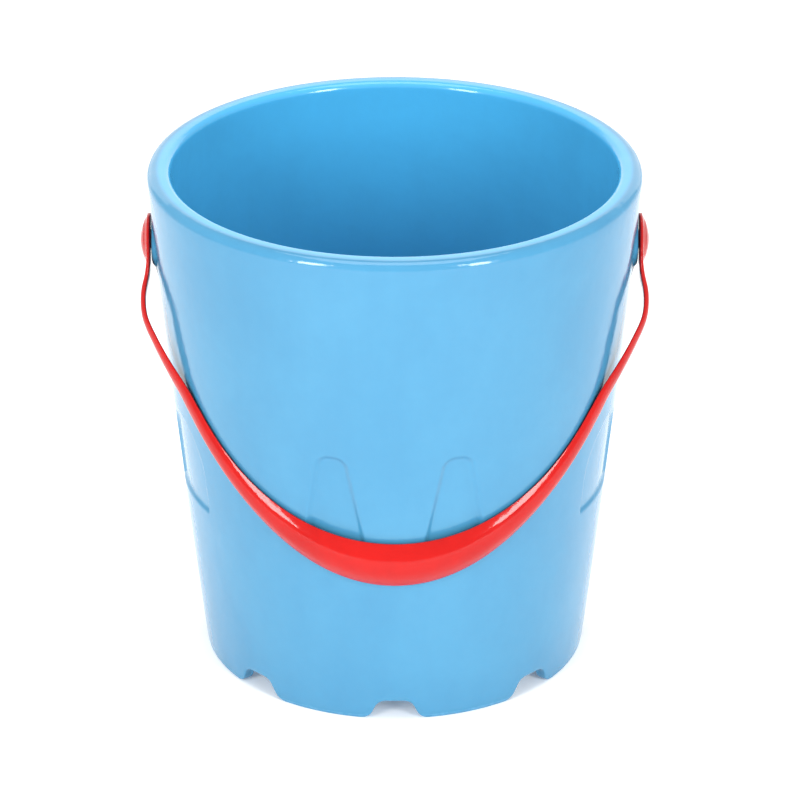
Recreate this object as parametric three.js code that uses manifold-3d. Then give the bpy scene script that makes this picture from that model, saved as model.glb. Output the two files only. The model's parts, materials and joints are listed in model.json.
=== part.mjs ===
// Sand bucket: a tapered pail on a notched foot ring, with castle niches pressed into its wall
// and a bail handle that swings on two domed snap pins.
// Millimetres, +Z up. The origin is the centre of the circle that the foot stands on, and the
// bail lies against the front of the wall, which faces -Y.
import * as THREE from 'three';
import { mergeVertices } from 'three/addons/utils/BufferGeometryUtils.js';
import Module from 'manifold-3d';

const wasm = await Module();
wasm.setup();

// Bucket body
const HEIGHT = 169;
const RIM_RADIUS = 80;
const FOOT_RADIUS = 63.2;
const WALL_BULGE = 0.75; // how far the wall bows out of a straight taper at half height
const WALL_THICKNESS = 4.6; // near the floor
const RIM_THICKNESS = 7.8;
const RIM_SWELL_POWER = 4; // how late the wall thickens on its way up to the rim
const RIM_OUTER_ROUND = 2.8;
const RIM_INNER_ROUND = 2.2;
const WALL_STEPS = 7;
const BODY_SIDES = 72;

// Floor and foot ring
const FLOOR_UNDERSIDE = 9.5;
const FLOOR_THICKNESS = 4.5;
const FLOOR_FILLET = 6;
const FOOT_THICKNESS = 4.2;
const NOTCH_COUNT = 8;
const NOTCH_HEIGHT = 7;
const NOTCH_HALF_WIDTH = 7.7;
const NOTCH_TOP_HALF_WIDTH = 6;
const NOTCH_ROUND = 2;

// Niches: a pair of windows at the front and back, a pair of wider gates at each side
const NICHE_DEPTH = 1;
const NICHE_SILL = 60.5;
const WINDOW_TOP = 98.3;
const WINDOW_HALF_WIDTH = 11.1;
const WINDOW_TOP_HALF_WIDTH = 4.6;
const WINDOW_ROUND = 3.6;
const WINDOW_OFFSET = 15.9; // degrees each side of the front or back
const GATE_HALF_WIDTH = 16;
const GATE_SPRING = 74; // height where the gate's round arch starts
const GATE_OFFSET = 17.2; // degrees each side of the pivot

// Pivots
const PIVOT_HEIGHT = 142.9;
const LAND_FACE = 78.6; // flat outer land around the pin hole, distance from the centre plane
const LAND_RADIUS = 7.5;
const INNER_LAND_FACE = 70.4;
const SHANK_RADIUS = 3;
const SHANK_CLEARANCE = 0.15;
const RUNNING_GAP = 0.3;
const PIN_SIDES = 24;
const PIN_HEAD_RADIUS = 5.6;
const PIN_HEAD_SEAT = 80.4;
const PIN_HEAD_TOP = 82.5;
const PIN_HEAD_EDGE = 0.6; // straight side of the head under its dome
const CAP_RADIUS = 6.4;
const CAP_THICKNESS = 2.2;
const PIN_TIP_OVERHANG = 0.7;

// Bail
const BAIL_TILT = THREE.MathUtils.degToRad(41.5); // lean of the bail at rest from straight down
const BAIL_GAP = 0.4; // between the bail and the wall it lies against
const ARM_THICKNESS = 2.5;
const GRIP_THICKNESS = 4.4;
const ARM_WIDTH = 7;
const GRIP_WIDTH = 15.6;
const GRIP_HALF_SPAN = THREE.MathUtils.degToRad(55); // the bail widens within this of the front
const ARM_FLAT_REACH = 26; // the arms stay square to the pivots as far out as the rim
const ARM_HUG_REACH = 58; // beyond this the bail follows the wall
const ARM_STAND_OFF = [[0, 0.6], [11, 2.0], [20, 4.5], [27, 5.2], [35, 3.85], [43, 2.25], [52, 0.5], [60, 0]];
const BAIL_STEPS = 64;
const BAIL_SIDES = 12;
const EYE_RADIUS = 8.6;
const EYE_INNER_FACE = 78.9;
const EYE_OUTER_FACE = 81.3;
const EYE_CHAMFER = 0.9;
const EYE_BORE_RADIUS = SHANK_RADIUS + RUNNING_GAP;
const EYE_RECESS_FLOOR = PIN_HEAD_SEAT - RUNNING_GAP;

const FRONT = new THREE.Vector3(0, -1, 0);
const UP = new THREE.Vector3(0, 0, 1);

// Outer radius of the wall at height z.
function wallRadius(z) {
  const s = z / HEIGHT;
  return THREE.MathUtils.lerp(FOOT_RADIUS, RIM_RADIUS, s) + 4 * WALL_BULGE * s * (1 - s);
}

function wallThickness(z) {
  const swell = (z / HEIGHT) ** RIM_SWELL_POWER;
  return THREE.MathUtils.lerp(WALL_THICKNESS, RIM_THICKNESS, swell);
}

function range(from, to, steps) {
  return Array.from({ length: steps + 1 }, (_, i) => THREE.MathUtils.lerp(from, to, i / steps));
}

// Points of an arc in the radius-height plane, angles in degrees from the outward direction.
function arcPoints(centreR, centreZ, radius, fromDeg, toDeg, steps) {
  return range(fromDeg, toDeg, steps).map((deg) => {
    const angle = THREE.MathUtils.degToRad(deg);
    return new THREE.Vector2(centreR + radius * Math.cos(angle), centreZ + radius * Math.sin(angle));
  });
}

// Manifold solid of a closed three.js geometry.
function solidOf(geometry) {
  const bare = geometry.clone();
  bare.deleteAttribute('normal');
  bare.deleteAttribute('uv');
  const merged = mergeVertices(bare, 1e-4);
  const index = merged.index.array;
  const triVerts = [];
  for (let i = 0; i < index.length; i += 3) {
    const [a, b, c] = [index[i], index[i + 1], index[i + 2]];
    if (a !== b && b !== c && c !== a) triVerts.push(a, b, c);
  }
  return new wasm.Manifold(new wasm.Mesh({
    numProp: 3,
    vertProperties: new Float32Array(merged.attributes.position.array),
    triVerts: new Uint32Array(triVerts),
  }));
}

function geometryOf(solid) {
  const mesh = solid.getMesh();
  const geometry = new THREE.BufferGeometry();
  geometry.setAttribute('position', new THREE.BufferAttribute(mesh.vertProperties, 3));
  geometry.setIndex(new THREE.BufferAttribute(mesh.triVerts, 1));
  return geometry;
}

// Solid of revolution about the vertical axis.
function turned(points, sides) {
  return new THREE.LatheGeometry(points, sides).rotateX(Math.PI / 2);
}

// Solid of revolution about the pivot axis. A point is (distance from that axis, distance from
// the centre plane), and side is -1 for the left pivot and +1 for the right.
function turnedOnPivot(points, side) {
  const geometry = new THREE.LatheGeometry(points, PIN_SIDES).rotateZ(-Math.PI / 2);
  if (side < 0) geometry.rotateZ(Math.PI);
  return geometry.translate(0, 0, PIVOT_HEIGHT);
}

function pivotDisc(radius, from, to, side) {
  const outline = [[0, from], [radius, from], [radius, to], [0, to]];
  return turnedOnPivot(outline.map(([r, x]) => new THREE.Vector2(r, x)), side);
}

// An upright outline, extruded outwards from the axis towards an azimuth counted from the front.
function radialPrism(shape, from, to, azimuthDeg) {
  const geometry = new THREE.ExtrudeGeometry(shape, {
    depth: to - from,
    bevelEnabled: false,
    curveSegments: 5,
  });
  geometry.rotateX(Math.PI / 2).translate(0, -from, 0);
  return geometry.rotateZ(THREE.MathUtils.degToRad(azimuthDeg));
}

// Flat-topped outline that narrows upwards, with rounded top corners.
function taperedOpening(bottom, top, halfWidth, topHalfWidth, round) {
  const shape = new THREE.Shape();
  const lean = ((halfWidth - topHalfWidth) / (top - bottom)) * round;
  shape.moveTo(-halfWidth, bottom);
  shape.lineTo(halfWidth, bottom);
  shape.lineTo(topHalfWidth + lean, top - round);
  shape.quadraticCurveTo(topHalfWidth, top, topHalfWidth - round, top);
  shape.lineTo(round - topHalfWidth, top);
  shape.quadraticCurveTo(-topHalfWidth, top, -topHalfWidth - lean, top - round);
  shape.closePath();
  return shape;
}

function archedOpening(bottom, spring, halfWidth) {
  const shape = new THREE.Shape();
  shape.moveTo(-halfWidth, bottom);
  shape.lineTo(halfWidth, bottom);
  shape.absarc(0, spring, halfWidth, 0, Math.PI, false);
  shape.closePath();
  return shape;
}

function bodyProfile() {
  const rimStart = HEIGHT - RIM_OUTER_ROUND;
  const innerStart = HEIGHT - RIM_INNER_ROUND;
  const innerRim = RIM_RADIUS - RIM_THICKNESS;
  const floorTop = FLOOR_UNDERSIDE + FLOOR_THICKNESS;
  const filletTop = floorTop + FLOOR_FILLET;
  const innerRadius = (z) => wallRadius(z) - wallThickness(z);
  const outer = range(0, rimStart, WALL_STEPS);
  const inner = range(innerStart, filletTop, WALL_STEPS).slice(1);
  return [
    new THREE.Vector2(0, FLOOR_UNDERSIDE),
    new THREE.Vector2(wallRadius(FLOOR_UNDERSIDE) - FOOT_THICKNESS, FLOOR_UNDERSIDE),
    new THREE.Vector2(FOOT_RADIUS - FOOT_THICKNESS, 0),
    ...outer.map((z) => new THREE.Vector2(wallRadius(z), z)),
    ...arcPoints(wallRadius(rimStart) - RIM_OUTER_ROUND, rimStart, RIM_OUTER_ROUND, 0, 90, 4).slice(1),
    ...arcPoints(innerRim + RIM_INNER_ROUND, innerStart, RIM_INNER_ROUND, 90, 180, 4),
    ...inner.map((z) => new THREE.Vector2(innerRadius(z), z)),
    ...arcPoints(innerRadius(filletTop) - FLOOR_FILLET, filletTop, FLOOR_FILLET, 0, -90, 4).slice(1),
    new THREE.Vector2(0, floorTop),
  ];
}

// Everything outside the wall sunk by the niche depth, within the niches' band of heights.
function nicheDepthRing() {
  const heights = range(NICHE_SILL - 5, WINDOW_TOP + 5, 6);
  const outline = heights.map((z) => new THREE.Vector2(wallRadius(z) - NICHE_DEPTH, z)).reverse();
  outline.push(new THREE.Vector2(RIM_RADIUS, heights.at(0)));
  outline.push(new THREE.Vector2(RIM_RADIUS, heights.at(-1)));
  outline.push(outline[0].clone());
  return solidOf(turned(outline, BODY_SIDES));
}

function nicheCutter() {
  const windowShape = taperedOpening(
    NICHE_SILL, WINDOW_TOP, WINDOW_HALF_WIDTH, WINDOW_TOP_HALF_WIDTH, WINDOW_ROUND);
  const gateShape = archedOpening(NICHE_SILL, GATE_SPRING, GATE_HALF_WIDTH);
  const rows = [[windowShape, 0, WINDOW_OFFSET], [gateShape, 90, GATE_OFFSET]];
  const prisms = rows.flatMap(([shape, middle, offset]) => [0, 180].flatMap((turn) => [
    radialPrism(shape, FOOT_RADIUS, RIM_RADIUS + 2, turn + middle - offset),
    radialPrism(shape, FOOT_RADIUS, RIM_RADIUS + 2, turn + middle + offset),
  ]));
  return joined(prisms.map(solidOf)).intersect(nicheDepthRing());
}

function notchCutter() {
  const shape = taperedOpening(
    -1, NOTCH_HEIGHT, NOTCH_HALF_WIDTH, NOTCH_TOP_HALF_WIDTH, NOTCH_ROUND);
  const azimuths = range(0, 360, NOTCH_COUNT).slice(1);
  return joined(azimuths.map((deg) => solidOf(radialPrism(shape, FOOT_RADIUS - 10, RIM_RADIUS, deg))));
}

function joined(solids) {
  return solids.reduce((whole, next) => whole.add(next));
}

// The body gains a flat land inside and outside at each pivot, and a hole for the pin.
function bucketShell() {
  let shell = solidOf(turned(bodyProfile(), BODY_SIDES));
  shell = shell.subtract(nicheCutter()).subtract(notchCutter());
  for (const side of [-1, 1]) {
    shell = shell.add(solidOf(pivotDisc(LAND_RADIUS, INNER_LAND_FACE, LAND_FACE, side)));
    const hole = pivotDisc(SHANK_RADIUS + SHANK_CLEARANCE, INNER_LAND_FACE - 5, LAND_FACE + 5, side);
    shell = shell.subtract(solidOf(hole));
  }
  return geometryOf(shell);
}

const standOffCurve = new THREE.CatmullRomCurve3(
  ARM_STAND_OFF.map(([reach, off]) => new THREE.Vector3(reach, off, 0)), false, 'centripetal');

// How far an arm stands off the wall, beyond the bail's usual gap, at a reach from the pivots.
function standOff(reach) {
  const last = ARM_STAND_OFF.at(-1)[0];
  if (reach >= last) return 0;
  let [low, high] = [0, 1];
  for (let i = 0; i < 24; i += 1) {
    const middle = (low + high) / 2;
    if (standOffCurve.getPoint(middle).x < reach) low = middle;
    else high = middle;
  }
  return standOffCurve.getPoint(low).y;
}

// 1 at the front of the grip, falling to 0 where the arms start.
function gripShare(azimuth) {
  const t = Math.min(Math.abs(azimuth) / GRIP_HALF_SPAN, 1);
  return Math.cos((t * Math.PI) / 2) ** 2;
}

function bailThickness(azimuth) {
  return THREE.MathUtils.lerp(ARM_THICKNESS, GRIP_THICKNESS, gripShare(azimuth));
}

function bailWidth(azimuth) {
  return THREE.MathUtils.lerp(ARM_WIDTH, GRIP_WIDTH, gripShare(azimuth));
}

// Centre line of the bail. It lies in one plane through the pivot axis, and its azimuth runs
// from -90 degrees at the left pivot over 0 at the front to +90 at the right pivot.
function bailCentre(azimuth) {
  let radius = RIM_RADIUS;
  let forward = 0;
  for (let i = 0; i < 8; i += 1) {
    forward = radius * Math.cos(azimuth);
    const z = PIVOT_HEIGHT - forward / Math.tan(BAIL_TILT);
    radius = wallRadius(z) + BAIL_GAP + bailThickness(azimuth) / 2;
  }
  const reach = forward / Math.sin(BAIL_TILT);
  const x = radius * Math.sin(azimuth) + Math.sign(azimuth) * standOff(reach);
  return new THREE.Vector3(x, -forward, PIVOT_HEIGHT - forward / Math.tan(BAIL_TILT));
}

// Outward direction of the bail's flat side: square to the pivots on the arms, square to the
// wall where the bail follows it.
function bailOutward(azimuth) {
  const reach = Math.abs(bailCentre(azimuth).y) / Math.sin(BAIL_TILT);
  const hug = THREE.MathUtils.smoothstep(reach, ARM_FLAT_REACH, ARM_HUG_REACH);
  const heading = THREE.MathUtils.lerp((Math.sign(azimuth) * Math.PI) / 2, azimuth, hug);
  const slope = (hug * (RIM_RADIUS - FOOT_RADIUS)) / HEIGHT;
  return FRONT.clone().applyAxisAngle(UP, heading).setZ(-slope).normalize();
}

// Cross-section frame of the bail at an azimuth.
function bailFrame(azimuth) {
  const step = 0.01;
  const ahead = bailCentre(Math.min(azimuth + step, Math.PI / 2));
  const behind = bailCentre(Math.max(azimuth - step, -Math.PI / 2));
  const along = ahead.sub(behind).normalize();
  const across = new THREE.Vector3().crossVectors(along, bailOutward(azimuth)).normalize();
  const outward = new THREE.Vector3().crossVectors(across, along);
  return { centre: bailCentre(azimuth), outward, across };
}

// The band: a straight round bar whose rings are laid along the centre line and flattened to a
// soft-cornered section.
function bailBand() {
  const bar = new THREE.CylinderGeometry(1, 1, 2, BAIL_SIDES, BAIL_STEPS);
  const position = bar.attributes.position;
  for (let i = 0; i < position.count; i += 1) {
    const azimuth = (-position.getY(i) * Math.PI) / 2;
    const { centre, outward, across } = bailFrame(azimuth);
    const [x, z] = [position.getX(i), position.getZ(i)];
    const soften = (value) => Math.sign(value) * Math.sqrt(Math.abs(value));
    centre.addScaledVector(outward, (soften(x) * bailThickness(azimuth)) / 2);
    centre.addScaledVector(across, (soften(z) * bailWidth(azimuth)) / 2);
    position.setXYZ(i, centre.x, centre.y, centre.z);
  }
  return solidOf(bar);
}

function bailEye(side) {
  const outline = [
    [0, EYE_INNER_FACE],
    [EYE_RADIUS, EYE_INNER_FACE],
    [EYE_RADIUS, EYE_OUTER_FACE - EYE_CHAMFER],
    [EYE_RADIUS - EYE_CHAMFER, EYE_OUTER_FACE],
    [0, EYE_OUTER_FACE],
  ];
  return solidOf(turnedOnPivot(outline.map(([r, x]) => new THREE.Vector2(r, x)), side));
}

function bailHandle() {
  let bail = joined([bailBand(), bailEye(-1), bailEye(1)]);
  for (const side of [-1, 1]) {
    const bore = pivotDisc(EYE_BORE_RADIUS, EYE_INNER_FACE - 3, EYE_OUTER_FACE + 3, side);
    const recessRadius = PIN_HEAD_RADIUS + RUNNING_GAP;
    const recess = pivotDisc(recessRadius, EYE_RECESS_FLOOR, EYE_OUTER_FACE + 3, side);
    bail = bail.subtract(solidOf(bore)).subtract(solidOf(recess));
  }
  return geometryOf(bail);
}

// Domed head, shank through the eye and the wall, and a tip that stands out of the cap.
function pivotPin(side) {
  const tip = INNER_LAND_FACE - RUNNING_GAP - CAP_THICKNESS - PIN_TIP_OVERHANG;
  const domeHeight = PIN_HEAD_TOP - PIN_HEAD_SEAT - PIN_HEAD_EDGE;
  const dome = range(0, 90, 5).map((deg) => {
    const angle = THREE.MathUtils.degToRad(deg);
    const x = PIN_HEAD_SEAT + PIN_HEAD_EDGE + domeHeight * Math.sin(angle);
    return new THREE.Vector2(deg === 90 ? 0 : PIN_HEAD_RADIUS * Math.cos(angle), x);
  });
  return turnedOnPivot([
    new THREE.Vector2(0, tip),
    new THREE.Vector2(SHANK_RADIUS, tip),
    new THREE.Vector2(SHANK_RADIUS, PIN_HEAD_SEAT),
    new THREE.Vector2(PIN_HEAD_RADIUS, PIN_HEAD_SEAT),
    ...dome,
  ], side);
}

// Push-on ring that grips the pin inside the bucket.
function pinCap(side) {
  const outerFace = INNER_LAND_FACE - RUNNING_GAP;
  const innerFace = outerFace - CAP_THICKNESS;
  const bore = SHANK_RADIUS + SHANK_CLEARANCE;
  const outline = [
    [bore, innerFace],
    [CAP_RADIUS - 1, innerFace],
    [CAP_RADIUS, innerFace + 1],
    [CAP_RADIUS, outerFace],
    [bore, outerFace],
    [bore, innerFace],
  ];
  return turnedOnPivot(outline.map(([r, x]) => new THREE.Vector2(r, x)), side);
}

const bluePlastic = new THREE.MeshStandardMaterial({ color: 0x74c3ea, roughness: 0.3, metalness: 0 });
const redPlastic = new THREE.MeshStandardMaterial({ color: 0xe8271f, roughness: 0.25, metalness: 0 });

function named(name, geometry, material) {
  const mesh = new THREE.Mesh(geometry, material);
  mesh.name = name;
  return mesh;
}

const bucket = new THREE.Group();
bucket.add(named('bucket_shell', bucketShell(), bluePlastic));
bucket.add(named('bail_handle', bailHandle(), redPlastic));
for (const [word, side] of [['left', -1], ['right', 1]]) {
  bucket.add(named(`${word}_pivot_pin`, pivotPin(side), redPlastic));
  bucket.add(named(`${word}_pin_cap`, pinCap(side), redPlastic));
}

export default bucket;
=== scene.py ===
import json
import math
from math import cos, pi, radians, sin

import bmesh
import bpy
from bpy.props import FloatProperty, FloatVectorProperty, IntProperty, PointerProperty
from bpy.types import Operator, Panel, PropertyGroup
from mathutils import Matrix, Vector


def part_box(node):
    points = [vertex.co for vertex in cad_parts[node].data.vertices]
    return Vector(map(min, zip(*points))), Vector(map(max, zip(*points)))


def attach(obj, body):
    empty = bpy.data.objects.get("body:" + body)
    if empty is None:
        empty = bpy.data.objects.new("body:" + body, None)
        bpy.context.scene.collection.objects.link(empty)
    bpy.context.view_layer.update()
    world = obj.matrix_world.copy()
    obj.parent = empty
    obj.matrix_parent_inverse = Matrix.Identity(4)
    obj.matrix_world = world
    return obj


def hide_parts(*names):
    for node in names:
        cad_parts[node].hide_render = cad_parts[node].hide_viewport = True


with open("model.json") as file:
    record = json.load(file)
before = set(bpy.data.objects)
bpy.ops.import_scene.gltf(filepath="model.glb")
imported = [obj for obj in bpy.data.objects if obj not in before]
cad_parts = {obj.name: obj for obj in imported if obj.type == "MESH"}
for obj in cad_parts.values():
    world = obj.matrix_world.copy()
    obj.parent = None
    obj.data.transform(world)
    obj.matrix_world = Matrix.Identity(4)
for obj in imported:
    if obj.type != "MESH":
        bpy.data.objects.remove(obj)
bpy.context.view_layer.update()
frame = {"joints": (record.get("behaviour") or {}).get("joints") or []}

bl_info = {
    "name": "Sand Bucket",
    "version": (1, 0, 0),
    "blender": (4, 5, 0),
    "location": "3D View > Sidebar > Sand Bucket",
    "description": "Finished pieces of a child's sand bucket, built around its packed frame",
    "category": "Object",
}

# What the frame says: the whole object's box, the bucket's height and the pivot axis.
BUCKET_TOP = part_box("bucket_shell")[1].z
PIN_OUTER_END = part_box("right_pivot_pin")[1].x
PIN_INNER_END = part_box("right_pivot_pin")[0].x
CAP_INNER_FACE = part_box("right_pin_cap")[0].x
CAP_OUTER_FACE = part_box("right_pin_cap")[1].x
PIVOT_HEIGHT = frame["joints"][0]["pos_m"][2]
SIDES = {"left": -1, "right": 1}


# ---------------------------------------------------------------- settings


def length(name, default, description):
    """A size in metres that the sidebar shows in the scene's own units."""
    return FloatProperty(
        name=name, description=description, default=default, min=0.0, precision=5, unit="LENGTH")


def angle(name, default, description):
    """An angle whose default is given in degrees."""
    return FloatProperty(
        name=name, description=description, default=radians(default), subtype="ANGLE")


def colour(name, default, description):
    """A linear colour."""
    return FloatVectorProperty(
        name=name, description=description, default=default, size=3, min=0.0, max=1.0,
        subtype="COLOR")


class BodySettings(PropertyGroup):
    rim_radius: length("Rim radius", 0.080, "Radius that the wall's taper reaches at the top")
    foot_radius: length("Foot radius", 0.0632, "Outer radius where the foot stands")
    bulge: length("Wall bulge", 0.00075, "How far the wall bows out at half height")
    wall: length("Wall", 0.0046, "Wall thickness near the floor")
    rim: length("Rim", 0.0078, "Wall thickness at the rim")
    rim_outer_round: length("Rim outer round", 0.0028, "Radius of the rim's outer edge")
    rim_inner_round: length("Rim inner round", 0.0022, "Radius of the rim's inner edge")
    floor_underside: length("Floor underside", 0.0095, "Height of the floor's underside")
    floor: length("Floor", 0.0045, "Floor thickness")
    floor_fillet: length("Floor fillet", 0.006, "Radius where the wall meets the floor")
    foot: length("Foot ring", 0.0042, "Thickness of the foot ring")
    foot_round: length("Foot round", 0.0008, "Radius of the foot ring's edges")
    land_radius: length("Land radius", 0.0075, "Radius of the flat land round a pin hole")
    land_face: length("Outer land", 0.0786, "Distance of the outer land from the middle")
    inner_land_face: length("Inner land", 0.0704, "Distance of the inner land from the middle")
    pin_hole: length("Pin hole", 0.00315, "Radius of the pin hole")


class NotchSettings(PropertyGroup):
    count: IntProperty(
        name="Notches", description="Notches in the foot ring", default=8, min=1, max=24)
    height: length("Height", 0.007, "Height of a notch")
    mouth: length("Mouth", 0.0085, "Half width of a notch at the ground, before its round")
    crown: length("Crown", 0.0053, "Half width of a notch at its top, before its round")
    mouth_round: length("Mouth round", 0.0029, "Length of the curve at a notch's lower corners")
    crown_round: length("Crown round", 0.0028, "Length of the curve at a notch's upper corners")


class NicheSettings(PropertyGroup):
    depth: length("Depth", 0.001, "How deep a niche is pressed into the wall")
    edge: length("Edge", 0.0020, "Width of the slope round a niche")
    sill: length("Sill", 0.0612, "Height of the niches' lower edge")
    window_top: length("Window top", 0.0988, "Height of a window's upper edge")
    window_half: length("Window half width", 0.0111, "Half width of a window at its sill")
    window_top_half: length("Window top half width", 0.0046, "Half width of a window at its top")
    window_round: length("Window round", 0.0036, "Radius of a window's upper corners")
    window_offset: angle("Window offset", 15.9, "Angle of a window from the front or back")
    gate_half: length("Gate half width", 0.016, "Half width of a gate, and its arch's radius")
    gate_spring: length("Gate spring", 0.074, "Height where a gate's arch starts")
    gate_offset: angle("Gate offset", 17.2, "Angle of a gate from the pivots")


class BailSettings(PropertyGroup):
    tilt: angle("Tilt", 41.5, "Lean of the resting bail from straight down")
    gap: length("Gap", 0.0004, "Space between the bail and the wall that it lies on")
    arm_thickness: length("Arm thickness", 0.0019, "Thickness of the arms")
    grip_thickness: length("Grip thickness", 0.0044, "Thickness of the grip at the front")
    arm_width: length("Arm width", 0.007, "Width of the arms")
    grip_width: length("Grip width", 0.0156, "Width of the grip at the front")
    grip_span: angle("Grip half span", 55.0, "The bail widens within this angle of the front")
    eye_radius: length("Eye radius", 0.0086, "Radius of the round eyes")
    eye_thickness: length("Eye thickness", 0.0027, "Thickness of the eyes")
    eye_inner_face: length("Eye inner face", 0.0789, "Distance of an eye from the middle")
    eye_drop: length("Eye drop", 0.0018, "How much the domed eye thins towards its edge")
    bore: length("Bore", 0.0033, "Radius of the hole that turns on the pin")
    recess: length("Recess", 0.0059, "Radius of the recess for the pin's head")
    recess_floor: length("Recess floor", 0.0801, "Distance of the recess floor from the middle")
    roof: FloatProperty(
        name="Roof", description="2 gives the grip a round outer face, more a flatter one",
        default=1.9, min=1.5, max=6.0)


class PinSettings(PropertyGroup):
    shank: length("Shank", 0.003, "Radius of a pin's shank")
    head: length("Head", 0.0056, "Radius of a pin's domed head")
    head_seat: length("Head seat", 0.0804, "Distance of the head's underside from the middle")
    head_edge: length("Head edge", 0.0010, "Height of the head's straight edge")
    cap_radius: length("Cap radius", 0.0064, "Radius of the push-on cap")
    cap_round: length("Cap round", 0.0009, "Radius of the cap's inner edge")


class FinishSettings(PropertyGroup):
    sky: colour("Sky blue", (0.0465, 0.222, 0.388), "Main colour of the bucket")
    pale_sky: colour("Pale blue", (0.056, 0.250, 0.422), "Paler patches of the bucket")
    # Painted light: a brighter blue for the inside, standing in for the light that falls there.
    inner_sky_painted_light: colour("Inner blue", (0.058, 0.362, 0.635), "Brighter blue of the bucket's inside")
    red: colour("Red", (0.46, 0.0045, 0.003), "Main colour of the bail")
    deep_red: colour("Deep red", (0.40, 0.0032, 0.0024), "Darker patches of the bail and pins")
    worn: colour("Worn blue", (0.12, 0.36, 0.55), "Scuffed plastic along the foot's lower edge")


class StageSettings(PropertyGroup):
    distance: length("Camera distance", 1.44, "Camera distance from the bucket's middle")
    aim: length("Aim", 0.085, "Height that the camera and the lamps look at")
    elevation: angle("Elevation", 25.56, "Height of the camera above the horizon")
    lens: FloatProperty(
        name="Lens", description="Focal length of the camera in millimetres", default=196.3)
    shift: FloatProperty(
        name="Shift", description="Sideways shift of the frame", default=0.0065, precision=4)
    room_light: FloatProperty(
        name="Room light", description="Strength of the plain light from all round", default=0.8)


class BucketSettings(PropertyGroup):
    body: PointerProperty(type=BodySettings)
    notches: PointerProperty(type=NotchSettings)
    niches: PointerProperty(type=NicheSettings)
    bail: PointerProperty(type=BailSettings)
    pins: PointerProperty(type=PinSettings)
    finish: PointerProperty(type=FinishSettings)
    stage: PointerProperty(type=StageSettings)


# ---------------------------------------------------------------- mesh helpers

# Columns of the pieces that are turned round the pivot axis.
PIN_HOLE_COLUMNS = 48
PIN_COLUMNS = 64


def spread(start, stop, steps):
    """Evenly spaced values, both ends included."""
    return [start + (stop - start) * i / steps for i in range(steps + 1)]


def mix(a, b, share):
    """a where share is 0, b where it is 1."""
    return a + (b - a) * share


def smooth(share):
    """0 up to 0, 1 from 1, and a soft S between them."""
    t = min(max(share, 0.0), 1.0)
    return t * t * (3 - 2 * t)


def ramp(value, start, stop):
    """A soft S from 0 at start to 1 at stop."""
    return smooth((value - start) / (stop - start))


def arc(centre, radius, start, stop, steps):
    """Points of an arc, angles in degrees counted from the first axis."""
    turns = [radians(a) for a in spread(start, stop, steps)]
    return [(centre[0] + radius * cos(t), centre[1] + radius * sin(t)) for t in turns]


def spun(outline, axis, columns, closed=False):
    """A bmesh of an outline of (radius, place along the axis) turned round the X or Z axis."""
    bm = bmesh.new()
    along_x = axis == "X"
    points = [Vector((p, 0, r)) if along_x else Vector((r, 0, p)) for r, p in outline]
    verts = [bm.verts.new(p) for p in points]
    edges = [bm.edges.new(pair) for pair in zip(verts, verts[1:])]
    if closed:
        edges.append(bm.edges.new((verts[-1], verts[0])))
    bmesh.ops.spin(
        bm, geom=verts + edges, cent=(0, 0, 0), axis=(1, 0, 0) if along_x else (0, 0, 1),
        dvec=(0, 0, 0), angle=2 * pi, steps=columns, use_merge=True, use_duplicate=False)
    bmesh.ops.remove_doubles(bm, verts=bm.verts, dist=1e-7)
    bmesh.ops.dissolve_degenerate(bm, dist=1e-8, edges=bm.edges)
    bmesh.ops.recalc_face_normals(bm, faces=bm.faces)
    return bm


def placed_on_pivot(bm, side):
    """Turns a piece made for the right pivot to the pivot on the given side."""
    if side < 0:
        bmesh.ops.rotate(bm, verts=bm.verts, cent=(0, 0, 0), matrix=Matrix.Rotation(pi, 3, "Z"))
    bmesh.ops.translate(bm, verts=bm.verts, vec=(0, 0, PIVOT_HEIGHT))
    return bm


def object_from(bm, name):
    """An object at the origin that holds the bmesh, which is used up."""
    mesh = bpy.data.meshes.new(name)
    bm.to_mesh(mesh)
    bm.free()
    made = bpy.data.objects.new(name, mesh)
    bpy.context.scene.collection.objects.link(made)
    return made


def cut_away(piece, cutters):
    """Cuts closed bmeshes out of a piece and keeps only the finished mesh."""
    for cutter_mesh in cutters:
        cutter = object_from(cutter_mesh, "cutter")
        cut = piece.modifiers.new("cut", "BOOLEAN")
        cut.operation = "DIFFERENCE"
        cut.solver = "EXACT"
        cut.object = cutter
        bpy.context.view_layer.update()
        graph = bpy.context.evaluated_depsgraph_get()
        finished = bpy.data.meshes.new_from_object(piece.evaluated_get(graph))
        piece.modifiers.clear()
        old, piece.data = piece.data, finished
        bpy.data.meshes.remove(old)
        bpy.data.objects.remove(cutter)
    piece.data.name = piece.name


def shade(piece, sharp_above=50):
    """Smooth shading, with only real corners kept sharp."""
    piece.data.polygons.foreach_set("use_smooth", [True] * len(piece.data.polygons))
    piece.data.set_sharp_from_angle(angle=radians(sharp_above))


def finished(piece, material, body, node, slot):
    """Gives a piece its material and its place in the frame, where it stands for a CAD node."""
    piece.data.materials.clear()
    piece.data.materials.append(material)
    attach(piece, body)
    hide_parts(node)


# ---------------------------------------------------------------- materials


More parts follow.
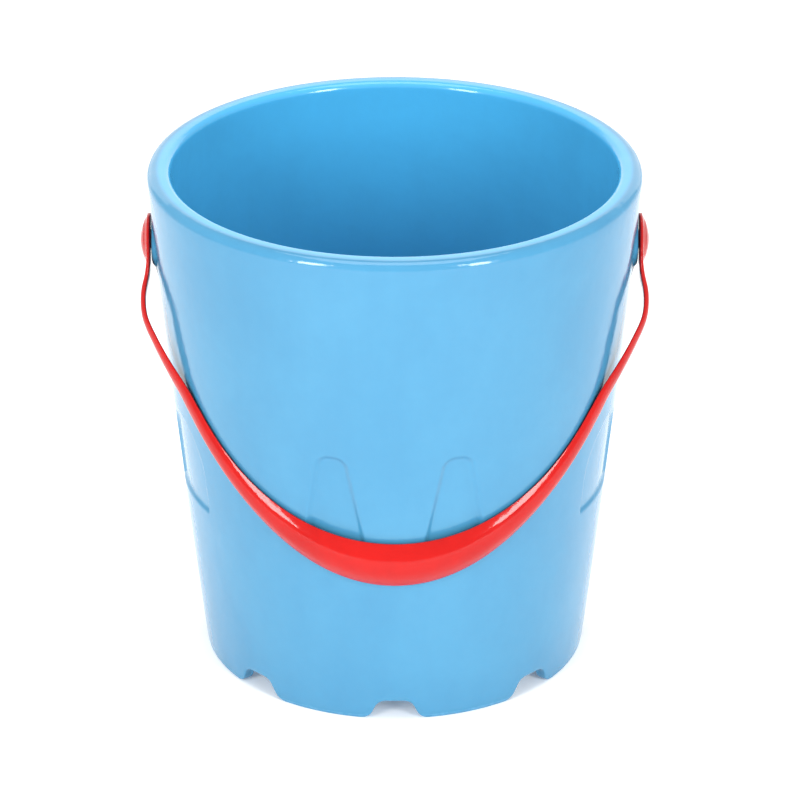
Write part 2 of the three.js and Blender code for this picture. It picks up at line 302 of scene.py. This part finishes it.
class Number:
    """A number on the surface. Python arithmetic on it adds Math nodes."""

    def __init__(self, finish, socket):
        self.finish = finish
        self.socket = socket

    def _math(self, operation, *values):
        node = self.finish.node(
            "ShaderNodeMath", {"operation": operation}, dict(enumerate(values)))
        return Number(self.finish, node.outputs[0])

    def __add__(self, other):
        return self._math("ADD", self, other)

    def __sub__(self, other):
        return self._math("SUBTRACT", self, other)

    def __rsub__(self, other):
        return self._math("SUBTRACT", other, self)

    def __mul__(self, other):
        return self._math("MULTIPLY", self, other)

    __radd__ = __add__
    __rmul__ = __mul__

    def between(self, low, high):
        """0 at low, 1 at high, soft in between."""
        node = self.finish.node(
            "ShaderNodeMapRange", {"interpolation_type": "SMOOTHSTEP"},
            {0: self, 1: low, 2: high, 3: 0.0, 4: 1.0})
        return Number(self.finish, node.outputs[0])


class Finish:
    """A material under construction."""

    def __init__(self, name):
        self.material = bpy.data.materials.new(name)
        self.material.use_nodes = True
        self.tree = self.material.node_tree
        self.tree.nodes.clear()
        self.place = self.node("ShaderNodeTexCoord").outputs["Object"]

    def node(self, kind, settings=None, inputs=None):
        node = self.tree.nodes.new(kind)
        for key, value in (settings or {}).items():
            setattr(node, key, value)
        for key, value in (inputs or {}).items():
            if isinstance(value, Number):
                value = value.socket
            if isinstance(value, bpy.types.NodeSocket):
                self.tree.links.new(value, node.inputs[key])
            else:
                node.inputs[key].default_value = value
        return node

    def stretched(self, scale):
        mapping = self.node("ShaderNodeMapping", {}, {"Vector": self.place, "Scale": scale})
        return mapping.outputs[0]

    def noise(self, size, detail=2.0, vector=None, distortion=0.0):
        """Cloudy noise from 0 to 1 whose patches are about size metres across."""
        node = self.node("ShaderNodeTexNoise", {}, {
            "Vector": vector or self.place, "Scale": 1.0 / size, "Detail": detail,
            "Roughness": 0.5, "Distortion": distortion})
        return Number(self, node.outputs[0])

    def height(self):
        split = self.node("ShaderNodeSeparateXYZ", {}, {0: self.place})
        return Number(self, split.outputs[2])

    def radius(self):
        """Distance from the bucket's upright axis."""
        flat = self.node(
            "ShaderNodeVectorMath", {"operation": "MULTIPLY"}, {0: self.place, 1: (1.0, 1.0, 0.0)})
        far = self.node("ShaderNodeVectorMath", {"operation": "LENGTH"}, {0: flat.outputs[0]})
        return Number(self, far.outputs["Value"])

    def blended(self, first, second, share):
        """Colour between two colours, by a share from 0 to 1."""
        colours = [
            value if isinstance(value, bpy.types.NodeSocket) else (*value, 1.0)
            for value in (first, second)]
        node = self.node(
            "ShaderNodeMix", {"data_type": "RGBA"}, {0: share, 6: colours[0], 7: colours[1]})
        return node.outputs[2]

    def bump(self, height, distance):
        node = self.node("ShaderNodeBump", {}, {"Height": height, "Distance": distance})
        return node.outputs[0]

    def surface(self, inputs):
        principled = self.node("ShaderNodeBsdfPrincipled", {}, inputs)
        self.node("ShaderNodeOutputMaterial", {}, {"Surface": principled.outputs[0]})
        return self.material


# Radius of the middle of the wall at the ground, and its growth per metre of height. It parts
# the inner blue, painted light that brightens the inside, from the outer.
MIDDLE_OF_WALL = (0.0605, 0.094)
SCUFF_FROM, SCUFF_TO = 0.0022, 0.0004


def thick_blue(colours):
    """Thick glossy blue moulding: cloudy depth of colour, faint streaks from filling the mould,
    a slight ripple in the gloss, a dull scuffed foot, and painted light: a brighter blue inside."""
    finish = Finish("thick_blue_moulding")
    clouds = finish.noise(0.045, 3.0, distortion=0.6)
    streaks = finish.noise(0.011, 3.0, vector=finish.stretched((1.0, 1.0, 0.28)))
    mottle = finish.noise(0.004, 2.0)
    share = (clouds * 0.55 + streaks * 0.3 + mottle * 0.15).between(0.3, 0.7)
    scuffed = 1.0 - finish.height().between(SCUFF_TO, SCUFF_FROM)
    scratches = finish.noise(0.0016, 3.0).between(0.45, 0.62)
    base = finish.blended(colours.sky, colours.pale_sky, share)
    at_ground, growth = MIDDLE_OF_WALL
    past_middle = finish.radius() - (finish.height() * growth + at_ground)
    # Painted light: the inside of the wall gets a brighter blue, standing in for the light there.
    inside = 1.0 - past_middle.between(-0.001, 0.001)
    painted_lit_inside = finish.blended(base, colours.inner_sky_painted_light, inside * (share * 0.2 + 0.8))
    worn = finish.blended(painted_lit_inside, colours.worn, scuffed * scratches * 0.35)
    ripple = finish.noise(0.009, 2.0) * 0.8 + finish.noise(0.0025, 1.0) * 0.2
    return finish.surface({
        "Base Color": worn,
        "Roughness": 0.1 + clouds * 0.06 + scuffed * 0.3,
        "IOR": 1.5,
        "Normal": finish.bump(ripple, 0.0002),
    })


def glossy_red(colours, name="glossy_red_moulding"):
    """Glossy red moulding with slightly uneven depth of colour and gloss."""
    finish = Finish(name)
    clouds = finish.noise(0.018, 3.0, distortion=0.4)
    mottle = finish.noise(0.003, 2.0)
    share = (clouds * 0.75 + mottle * 0.25).between(0.3, 0.7)
    ripple = finish.noise(0.006, 2.0)
    return finish.surface({
        "Base Color": finish.blended(colours.deep_red, colours.red, share),
        "Roughness": 0.07 + mottle * 0.04,
        "IOR": 1.37,
        "Normal": finish.bump(ripple, 0.00012),
    })


def pale_floor():
    """Pale acrylic studio table, lit softly from below."""
    finish = Finish("pale_table")
    tone = finish.noise(0.6, 2.0)
    return finish.surface({
        "Base Color": finish.blended((0.93, 0.93, 0.93), (0.96, 0.96, 0.96), tone),
        "Roughness": 0.7,
        "Emission Color": (1.0, 1.0, 1.0, 1.0),
        "Emission Strength": 0.15,
    })


# ---------------------------------------------------------------- bucket body


# How close to a wall's surface a point has to be to count as on it.
ON_SURFACE = 2e-5
# The walls count as outer and inner wall only above these heights.
OUTER_WALL_FROM, INNER_WALL_FROM = 0.02, 0.03
# Finer rows of faces reach this far above and below the niches, and below the inner lands.
NICHE_MARGIN, LAND_MARGIN = 0.004, 0.006


def wall_radius(body, z):
    """Outer radius of the wall at height z."""
    s = z / BUCKET_TOP
    return mix(body.foot_radius, body.rim_radius, s) + 4 * body.bulge * s * (1 - s)


def inner_radius(body, z):
    """Inner radius of the wall, which thickens late on its way up to the rim."""
    return wall_radius(body, z) - mix(body.wall, body.rim, (z / BUCKET_TOP) ** 4)


def body_outline(body, niches):
    """Half section of the body, from the floor's underside round the foot and over the rim."""
    rim_start = BUCKET_TOP - body.rim_outer_round
    inner_start = BUCKET_TOP - body.rim_inner_round
    floor_top = body.floor_underside + body.floor
    fillet_top = floor_top + body.floor_fillet
    foot_inner = body.foot_radius - body.foot
    foot_root = wall_radius(body, body.floor_underside) - body.foot
    niche_low = niches.sill - NICHE_MARGIN
    niche_high = niches.window_top + NICHE_MARGIN
    outer_heights = (
        spread(body.foot_round, body.floor_underside, 6)[1:]
        + spread(body.floor_underside, niche_low, 14)[1:]
        + spread(niche_low, niche_high, 38)[1:]
        + spread(niche_high, rim_start, 20)[1:-1])
    below_land = PIVOT_HEIGHT - body.land_radius - LAND_MARGIN
    inner_heights = (
        spread(inner_start, below_land, 28)[1:] + spread(below_land, fillet_top, 18)[1:-1])
    return (
        [(r, body.floor_underside) for r in spread(0, foot_root, 8)]
        + [(r, z) for r, z in zip(
            spread(foot_root, foot_inner, 6)[1:-1],
            spread(body.floor_underside, body.foot_round, 6)[1:-1])]
        + arc((foot_inner + body.foot_round, body.foot_round), body.foot_round, 180, 270, 4)
        + arc((body.foot_radius - body.foot_round, body.foot_round), body.foot_round, 270, 360, 4)
        + [(wall_radius(body, z), z) for z in outer_heights]
        + arc((wall_radius(body, rim_start) - body.rim_outer_round, rim_start),
              body.rim_outer_round, 0, 90, 10)
        + arc((inner_radius(body, BUCKET_TOP) + body.rim_inner_round, inner_start),
              body.rim_inner_round, 90, 180, 8)
        + [(inner_radius(body, z), z) for z in inner_heights]
        + arc((inner_radius(body, fillet_top) - body.floor_fillet, fillet_top),
              body.floor_fillet, 0, -90, 8)
        + [(r, floor_top) for r in
           spread(inner_radius(body, fillet_top) - body.floor_fillet, 0, 8)[1:]])


def wrapped(turn):
    """An angle brought between -180 and 180 degrees."""
    return (turn + pi) % (2 * pi) - pi


def window_inset(niches, across, z):
    """How far a point is inside a window's outline: across is its distance from the middle."""
    rise = (z - niches.sill) / (niches.window_top - niches.sill)
    side = mix(niches.window_half, niches.window_top_half, rise) - abs(across)
    top = niches.window_top - z
    corner = niches.window_round
    if side < corner and top < corner:
        return corner - math.hypot(corner - side, corner - top)
    return min(side, top, z - niches.sill)


def gate_inset(niches, across, z):
    """How far a point is inside the outline of a gate with a round arch."""
    above_spring = max(z - niches.gate_spring, 0.0)
    return min(niches.gate_half - math.hypot(across, above_spring), z - niches.sill)


def niche_inset(niches, point):
    """How far a point of the outer wall is inside the nearest niche; negative outside."""
    radius = math.hypot(point.x, point.y)
    heading = math.atan2(point.x, -point.y)
    insets = []
    for inset, middle, offset in (
            (window_inset, 0, niches.window_offset), (gate_inset, pi / 2, niches.gate_offset)):
        for turn in (0, pi):
            for way in (-1, 1):
                away = wrapped(heading - turn - middle - way * offset)
                insets.append(inset(niches, radius * sin(away) if abs(away) < 1 else 1.0, point.z))
    return max(insets)


def on_outer_wall(body, point):
    in_wall = OUTER_WALL_FROM < point.z < BUCKET_TOP - body.rim_outer_round
    off = abs(math.hypot(point.x, point.y) - wall_radius(body, point.z))
    return in_wall and off < ON_SURFACE


def on_inner_wall(body, point):
    in_wall = INNER_WALL_FROM < point.z < BUCKET_TOP - body.rim_inner_round
    off = abs(math.hypot(point.x, point.y) - inner_radius(body, point.z))
    return in_wall and off < ON_SURFACE


def from_pivot(point):
    """Distance of a point from the pivot axis."""
    return math.hypot(point.y, point.z - PIVOT_HEIGHT)


def refine(bm, wanted, cuts):
    """Cuts the edges whose ends are both wanted into a finer grid."""
    chosen = {v for v in bm.verts if wanted(v.co)}
    edges = [e for e in bm.edges if e.verts[0] in chosen and e.verts[1] in chosen]
    bmesh.ops.subdivide_edges(bm, edges=edges, cuts=cuts, use_grid_fill=True)


def press_niches(bm, body, niches):
    """Presses the niches in. Each slope starts a little outside its outline."""
    reach = 0.0026
    lead = 0.35

    def near_edge(point):
        return (niches.sill - reach < point.z < niches.window_top + reach
                and on_outer_wall(body, point)
                and abs(niche_inset(niches, point)) < reach)

    refine(bm, near_edge, 2)
    for vert in bm.verts:
        point = vert.co
        if (niches.sill - reach < point.z < niches.window_top + reach
                and on_outer_wall(body, point)):
            sunk = niches.depth * smooth(niche_inset(niches, point) / niches.edge + lead)
            share = 1 - sunk / math.hypot(point.x, point.y)
            point.x *= share
            point.y *= share


def raise_lands(bm, body):
    """Flat round lands outside and inside the wall at each pivot."""
    edge = 0.0030
    reach = body.land_radius + edge + 0.001
    refine(bm, lambda p: from_pivot(p) < reach and (
        on_outer_wall(body, p) or on_inner_wall(body, p)), 2)
    for vert in bm.verts:
        point = vert.co
        share = smooth((body.land_radius + edge - from_pivot(point)) / edge)
        outer = on_outer_wall(body, point)
        if share > 0 and (outer or on_inner_wall(body, point)):
            face = body.land_face if outer else body.inner_land_face
            point.x = mix(point.x, math.copysign(face, point.x), share)


# Columns from a notch's middle along its top, upper corner, side, lower corner and on to
# halfway to the next notch.
NOTCH_STEPS = (4, 6, 3, 6, 5)
# The columns crowd round the notches up to the floor's underside, and are even again at this
# many times its height.
EVEN_COLUMNS_FROM = 2.2


def bend(start, corner, end, steps):
    """Points after start on a soft curve that turns at a corner."""
    return [
        start * (1 - t) ** 2 + corner * 2 * t * (1 - t) + end * t**2
        for t in spread(0, 1, steps)[1:]]


def notch_outline(notches, half_pitch):
    """Half of a notch as a column of (across, height) points from its middle outwards."""
    crown = Vector((notches.crown, notches.height))
    mouth = Vector((notches.mouth, 0))
    down = (mouth - crown).normalized()
    level = Vector((1, 0))
    upper = (crown - level * notches.crown_round, crown, crown + down * notches.crown_round)
    lower = (mouth - down * notches.mouth_round, mouth, mouth + level * notches.mouth_round)
    middle, outer = Vector((0, notches.height)), Vector((half_pitch, 0))
    top, corner, side, foot, rest = NOTCH_STEPS
    return (
        [middle]
        + bend(middle, (middle + upper[0]) / 2, upper[0], top)
        + bend(*upper, corner)
        + bend(upper[2], (upper[2] + lower[0]) / 2, lower[0], side)
        + bend(*lower, foot)
        + bend(lower[2], (lower[2] + outer) / 2, outer, rest))


def cut_notches(bm, body, notches):
    """Lifts the lower edge of the foot ring into rounded notches."""
    fade_from = body.floor_underside
    fade_to = body.floor_underside * EVEN_COLUMNS_FROM
    foot_inner = body.foot_radius - body.foot
    slack = 0.001
    pitch = 2 * pi / notches.count
    outline = notch_outline(notches, body.foot_radius * pitch / 2)
    half = len(outline) - 1
    for vert in bm.verts:
        point = vert.co
        radius = math.hypot(point.x, point.y)
        if point.z > fade_to or radius < foot_inner - slack:
            continue
        turn = math.atan2(point.y, point.x)
        column = round(turn / pitch * 2 * half)
        notch = round(column / (2 * half))
        place = column - notch * 2 * half
        across, lift = outline[abs(place)]
        drawn = notch * pitch + math.copysign(across / body.foot_radius, place)
        turn = mix(drawn, turn, smooth((point.z - fade_from) / (fade_to - fade_from)))
        if point.z < body.floor_underside:
            raised = raise_point(body, point.z, lift)
            radius += wall_radius(body, raised) - wall_radius(body, point.z)
            point.z = raised
        point.x = radius * cos(turn)
        point.y = radius * sin(turn)


def raise_point(body, z, lift):
    """Height of a foot point in a notch: its rounded edge keeps its shape, the rest closes up."""
    if z <= body.foot_round:
        return z + lift
    room = body.floor_underside - body.foot_round
    return lift + body.foot_round + (z - body.foot_round) * (room - lift) / room


class SANDBUCKET_OT_body(Operator):
    """Turn the bucket's body, press its niches, cut its foot and bore its pin holes"""

    bl_idname = "sandbucket.body"
    bl_label = "Bucket Body"

    def execute(self, context):
        settings = context.scene.sand_bucket
        body = settings.body
        columns = settings.notches.count * 2 * sum(NOTCH_STEPS)
        bm = spun(body_outline(body, settings.niches), "Z", columns)
        press_niches(bm, body, settings.niches)
        raise_lands(bm, body)
        cut_notches(bm, body, settings.notches)
        shell = object_from(bm, "bucket_body")
        cut_away(shell, [pin_hole(body)])
        shade(shell)
        finished(shell, thick_blue(settings.finish), "bucket", "bucket_shell", "shell_plastic")
        return {"FINISHED"}


def pin_hole(body):
    """Rod through both walls on the pivot axis."""
    reach = body.rim_radius + 0.01
    outline = [(0, -reach), (body.pin_hole, -reach), (body.pin_hole, reach), (0, reach)]
    return placed_on_pivot(spun(outline, "X", PIN_HOLE_COLUMNS), 1)


# ---------------------------------------------------------------- bail

# Stations from the top of an eye to its middle, and from there to the front.
EYE_STATIONS, ARM_STATIONS = 14, 150
SECTION_SIDES = 40
# How round the outer face is, as in the bail's own roof setting: in the eyes and in the arms.
EYE_ROOF, ARM_ROOF = 6, 2.6
ROOF_FADE_STATIONS = 30
# Height of a section's edge as a share of its thickness.
EDGE_SHARE = 0.28
# Distances along an arm: where its thickness leaves the eye's, and where it turns to the wall.
EYE_BLEND_FROM, EYE_BLEND_TO = 0.007, 0.015
HUG_FROM, HUG_TO = 0.026, 0.058
# The arm is wider by the flare where it leaves the eye.
FLARE, FLARE_FROM, FLARE_TO = 0.0022, 0.005, 0.016
# Distance from the pivots along an arm, and how far the arm stands off the wall there so that
# the rim passes under it.
ARM_STAND_OFF = (
    (0, 0.0006), (0.011, 0.0020), (0.020, 0.0045), (0.027, 0.0052),
    (0.035, 0.00385), (0.043, 0.00225), (0.052, 0.0005), (0.060, 0))


def stand_off(reach):
    """Smooth curve through the stand-off points."""
    points = ARM_STAND_OFF
    if reach >= points[-1][0]:
        return 0.0
    i = max(k for k in range(len(points) - 1) if points[k][0] <= max(reach, 0))

    def slope(k):
        low, high = points[max(k - 1, 0)], points[min(k + 1, len(points) - 1)]
        return (high[1] - low[1]) / (high[0] - low[0])

    (x0, y0), (x1, y1) = points[i], points[i + 1]
    span = x1 - x0
    t = (max(reach, 0) - x0) / span
    return ((2 * t**3 - 3 * t**2 + 1) * y0 + (t**3 - 2 * t**2 + t) * span * slope(i)
            + (3 * t**2 - 2 * t**3) * y1 + (t**3 - t**2) * span * slope(i + 1))


def grip_share(bail, heading):
    """1 at the front of the grip, 0 where the arms start."""
    return cos(min(abs(heading) / bail.grip_span, 1) * pi / 2) ** 2


def bail_thickness(bail, heading):
    """Thickness by heading from the front."""
    return mix(bail.arm_thickness, bail.grip_thickness, grip_share(bail, heading))


def bail_centre(body, bail, heading):
    """Centre line of the bail's right half, by heading from the front (0) to the pivot."""
    radius = body.rim_radius
    for _ in range(8):
        forward = radius * cos(heading)
        z = PIVOT_HEIGHT - forward / math.tan(bail.tilt)
        radius = wall_radius(body, z) + bail.gap + bail_thickness(bail, heading) / 2
    x = radius * sin(heading) + stand_off(forward / sin(bail.tilt)) * smooth(heading * 4)
    return Vector((x, -forward, PIVOT_HEIGHT - forward / math.tan(bail.tilt)))


def bail_stations(body, bail):
    """Centres and sizes of the bail's sections, from the top of the right eye to the front."""
    down = Vector((0, -sin(bail.tilt), -cos(bail.tilt)))
    eye_x = bail.eye_inner_face + bail.eye_thickness / 2
    eye_centre = Vector((eye_x, 0, PIVOT_HEIGHT))
    stations = []
    for turn in spread(0, 90, EYE_STATIONS)[:-1]:
        reach = -bail.eye_radius * cos(radians(turn))
        half = bail.eye_radius * sin(radians(turn))
        stations.append((eye_centre + down * reach, half, bail.eye_thickness, pi / 2))
    for heading in spread(pi / 2, 0, ARM_STATIONS):
        centre = bail_centre(body, bail, heading)
        reach = (centre - eye_centre).dot(down)
        arm = mix(bail.arm_width, bail.grip_width, grip_share(bail, heading)) / 2
        flare = FLARE * (1 - ramp(reach, FLARE_FROM, FLARE_TO))
        disc = math.sqrt(max(bail.eye_radius**2 - reach**2, 0))
        half = (disc**8 + (arm + flare) ** 8) ** (1 / 8)
        near_eye = 1 - ramp(reach, EYE_BLEND_FROM, EYE_BLEND_TO)
        centre.x = mix(centre.x, eye_x, near_eye)
        thick = mix(bail_thickness(bail, heading), bail.eye_thickness, near_eye)
        stations.append((centre, half, thick, heading))
    return stations


def bail_outward(body, bail, centre, heading):
    """Outward direction of the bail's flat side."""
    reach = abs(centre.y) / sin(bail.tilt)
    hug = ramp(reach, HUG_FROM, HUG_TO)
    turn = mix(pi / 2, heading, hug)
    slope = hug * (body.rim_radius - body.foot_radius) / BUCKET_TOP
    return Vector((sin(turn), -cos(turn), -slope)).normalized()


def bail_section(stations, i, body, bail):
    """Points across the bail at one station: nearly flat on the wall's side, domed outside."""
    centre, half, thick, heading = stations[i]
    ahead = stations[min(i + 1, len(stations) - 1)][0]
    behind = stations[max(i - 1, 0)][0]
    along = (ahead - behind).normalized()
    if i == len(stations) - 1:
        along = Vector((-1, 0, 0))
    across = along.cross(bail_outward(body, bail, centre, heading)).normalized()
    outward = across.cross(along)
    arm_roof = mix(EYE_ROOF, ARM_ROOF, smooth((i - EYE_STATIONS) / ROOF_FADE_STATIONS))
    roof = mix(arm_roof, bail.roof, grip_share(bail, heading) ** 0.5)
    edge = EDGE_SHARE * thick
    points = []
    for turn in spread(0, 2 * pi, SECTION_SIDES)[:-1]:
        c, s = cos(turn), sin(turn)
        if c > 0:
            a = edge + (thick - edge) * (1 - abs(s) ** roof)
            b = s * half
        else:
            a = edge * (1 - abs(c) ** 0.5)
            b = math.copysign(abs(s) ** 0.6, s) * half
        points.append(centre + outward * (a - thick / 2) + across * b)
    return points


def bail_mesh(body, bail):
    """The bail's right half as a grid of sections from the eye to the front, then mirrored."""
    stations = bail_stations(body, bail)
    last = len(stations) - 1
    sections = [bail_section(stations, i, body, bail) for i in range(last + 1)]
    bm = bmesh.new()
    bmesh.ops.create_grid(bm, x_segments=SECTION_SIDES, y_segments=last, size=1)
    for vert in bm.verts:
        k = round((vert.co.x + 1) / 2 * SECTION_SIDES)
        i = round((vert.co.y + 1) / 2 * last)
        vert.co = sections[i][k % SECTION_SIDES]
        if i == last:
            vert.co.x = 0
    bmesh.ops.remove_doubles(bm, verts=bm.verts, dist=1e-6)
    bmesh.ops.mirror(bm, geom=bm.verts[:] + bm.edges[:] + bm.faces[:], axis="X", merge_dist=1e-6)
    bmesh.ops.dissolve_degenerate(bm, dist=1e-7, edges=bm.edges)
    bmesh.ops.recalc_face_normals(bm, faces=bm.faces)
    dome_eyes(bm, bail)
    return bm


def dome_eyes(bm, bail):
    """Lowers the outer face of each eye towards its edge, so that eye and pin make one button.

    The face stays level up to the share of the eye's radius whose square is flat.
    """
    flat = 0.4
    middle = bail.eye_inner_face + bail.eye_thickness / 2
    for vert in bm.verts:
        reach = from_pivot(vert.co) / bail.eye_radius
        outside = (abs(vert.co.x) - middle) / (bail.eye_thickness / 2)
        if outside > 0 and reach < 2:
            share = max(reach**2 - flat, 0) / (1 - flat) if reach < 1 else (2 - reach) ** 2
            lowered = bail.eye_drop * share
            vert.co.x -= math.copysign(lowered * min(outside, 1), vert.co.x)


def eye_bore(bail, side):
    """Bore and recess for a pin, with a small chamfer at the recess's mouth."""
    outer = bail.eye_inner_face + bail.eye_thickness
    lip = 0.0003
    overshoot = 0.003
    outline = [
        (0, bail.eye_inner_face - overshoot),
        (bail.bore, bail.eye_inner_face - overshoot),
        (bail.bore, bail.recess_floor),
        (bail.recess, bail.recess_floor),
        (bail.recess, outer - lip),
        (bail.recess + lip * 2, outer + lip),
        (bail.recess + lip * 2, outer + overshoot),
        (0, outer + overshoot),
    ]
    return placed_on_pivot(spun(outline, "X", PIN_COLUMNS), side)


class SANDBUCKET_OT_bail(Operator):
    """Draw out the bail handle and bore its eyes"""

    bl_idname = "sandbucket.bail"
    bl_label = "Bail Handle"

    def execute(self, context):
        settings = context.scene.sand_bucket
        handle = object_from(bail_mesh(settings.body, settings.bail), "bail")
        cut_away(handle, [eye_bore(settings.bail, side) for side in SIDES.values()])
        shade(handle, 40)
        finished(handle, glossy_red(settings.finish), "bail", "bail_handle", "bail_plastic")
        return {"FINISHED"}


# ---------------------------------------------------------------- pins


def pin_mesh(pins, side):
    """Domed head with a soft edge, shank, and a tapered tip."""
    edge_top = pins.head_seat + pins.head_edge
    dome = PIN_OUTER_END - edge_top
    tip = 0.0005
    soft = 0.0002
    outline = [
        (0, PIN_INNER_END),
        (pins.shank - tip, PIN_INNER_END),
        (pins.shank, PIN_INNER_END + tip),
        (pins.shank, pins.head_seat),
        (pins.head - soft, pins.head_seat),
        (pins.head, pins.head_seat + soft),
    ]
    outline += [
        (pins.head * share, edge_top + dome * (1 - share**2)) for share in spread(1, 0, 12)]
    return placed_on_pivot(spun(outline, "X", PIN_COLUMNS), side)


def cap_mesh(pins, body, side):
    """Push-on ring with a rounded inner edge."""
    bore = body.pin_hole
    lip = 0.0003
    soft = pins.cap_round
    outline = (
        [(bore, CAP_OUTER_FACE), (bore, CAP_INNER_FACE + lip), (bore + lip, CAP_INNER_FACE)]
        + [(pins.cap_radius - soft + soft * sin(radians(a)),
            CAP_INNER_FACE + soft - soft * cos(radians(a))) for a in spread(0, 90, 6)]
        + [(pins.cap_radius, CAP_OUTER_FACE)])
    return placed_on_pivot(spun(outline, "X", PIN_COLUMNS, closed=True), side)


class SANDBUCKET_OT_pins(Operator):
    """Turn the two domed snap pins and the caps that hold them inside the wall"""

    bl_idname = "sandbucket.pins"
    bl_label = "Pivot Pins and Caps"

    def execute(self, context):
        settings = context.scene.sand_bucket
        pins = settings.pins
        material = glossy_red(settings.finish, "glossy_red_pins")
        for word, side in SIDES.items():
            pin = object_from(pin_mesh(pins, side), f"{word}_domed_pin")
            cap = object_from(cap_mesh(pins, settings.body, side), f"{word}_push_cap")
            for piece, node in ((pin, f"{word}_pivot_pin"), (cap, f"{word}_pin_cap")):
                shade(piece, 40)
                finished(piece, material, "bucket", node, "pin_plastic")
        return {"FINISHED"}


# ---------------------------------------------------------------- stage


# Lamps: heading from the front and elevation in degrees, distance, size, power in watts.
LAMPS = {
    "left_softbox": (-37, 22, 1.1, (0.23, 0.48), 6.5),
    "right_softbox": (37, 22, 1.1, (0.23, 0.48), 6.5),
    "top_softbox": (0, 90, 1.4, (1.0, 1.0), 10.0),
    "backdrop_light": (180, 18, 2.5, (4, 1.6), 22),
}
FLOOR_HALF_WIDTH = 6


def softbox(name, aim, heading, elevation, distance, size, power):
    """Rectangular lamp that looks at the bucket's middle."""
    light = bpy.data.lights.new(name, "AREA")
    light.shape = "RECTANGLE"
    light.size, light.size_y = size
    light.energy = power
    lamp = bpy.data.objects.new(name, light)
    out = Vector((sin(heading) * cos(elevation), -cos(heading) * cos(elevation), sin(elevation)))
    lamp.location = Vector((0, 0, aim)) + out * distance
    lamp.rotation_mode = "QUATERNION"
    lamp.rotation_quaternion = (-out).to_track_quat("-Z", "Y")
    bpy.context.scene.collection.objects.link(lamp)


def set_world(strength):
    """Plain white light from all round."""
    world = bpy.data.worlds.new("soft_room")
    world.use_nodes = True
    background = world.node_tree.nodes["Background"]
    background.inputs["Color"].default_value = (1, 1, 1, 1)
    background.inputs["Strength"].default_value = strength
    bpy.context.scene.world = world


class SANDBUCKET_OT_stage(Operator):
    """Lay the pale floor, hang the soft lamps and set up the camera"""

    bl_idname = "sandbucket.stage"
    bl_label = "Stage"

    def execute(self, context):
        stage = context.scene.sand_bucket.stage
        bm = bmesh.new()
        bmesh.ops.create_grid(bm, x_segments=8, y_segments=8, size=FLOOR_HALF_WIDTH)
        floor = object_from(bm, "floor")
        floor.data.materials.append(pale_floor())
        set_world(stage.room_light)
        for name, (heading, elevation, *lamp) in LAMPS.items():
            softbox(name, stage.aim, radians(heading), radians(elevation), *lamp)
        camera = bpy.data.objects.new("camera", bpy.data.cameras.new("camera"))
        context.scene.collection.objects.link(camera)
        camera.data.lens = stage.lens
        camera.data.shift_x = stage.shift
        back = Vector((0, -cos(stage.elevation), sin(stage.elevation)))
        camera.location = Vector((0, 0, stage.aim)) + back * stage.distance
        camera.rotation_mode = "QUATERNION"
        camera.rotation_quaternion = (-back).to_track_quat("-Z", "Y")
        context.scene.camera = camera
        context.scene.view_settings.view_transform = "Standard"
        return {"FINISHED"}


# ---------------------------------------------------------------- add-on


class SANDBUCKET_PT_sidebar(Panel):
    """Sidebar panel with the pieces of the sand bucket"""

    bl_idname = "SANDBUCKET_PT_sidebar"
    bl_label = "Sand Bucket"
    bl_space_type = "VIEW_3D"
    bl_region_type = "UI"
    bl_category = "Sand Bucket"

    def draw(self, context):
        settings = context.scene.sand_bucket
        for operator in OPERATORS:
            self.layout.operator(operator.bl_idname)
        for group in ("body", "notches", "niches", "bail", "pins", "finish", "stage"):
            box = self.layout.box()
            box.label(text=group.capitalize())
            values = getattr(settings, group)
            for key in values.bl_rna.properties.keys():
                if key not in {"rna_type", "name"}:
                    box.prop(values, key)


SETTINGS = (
    BodySettings, NotchSettings, NicheSettings, BailSettings, PinSettings, FinishSettings,
    StageSettings, BucketSettings)
OPERATORS = (SANDBUCKET_OT_body, SANDBUCKET_OT_bail, SANDBUCKET_OT_pins, SANDBUCKET_OT_stage)
CLASSES = (*SETTINGS, *OPERATORS, SANDBUCKET_PT_sidebar)


def register():
    for cls in CLASSES:
        bpy.utils.register_class(cls)
    bpy.types.Scene.sand_bucket = PointerProperty(type=BucketSettings)


def unregister():
    del bpy.types.Scene.sand_bucket
    for cls in reversed(CLASSES):
        bpy.utils.unregister_class(cls)


def main():
    register()
    bpy.ops.sandbucket.body()
    bpy.ops.sandbucket.bail()
    bpy.ops.sandbucket.pins()
    bpy.ops.sandbucket.stage()


if __name__ == "__main__":
    main()
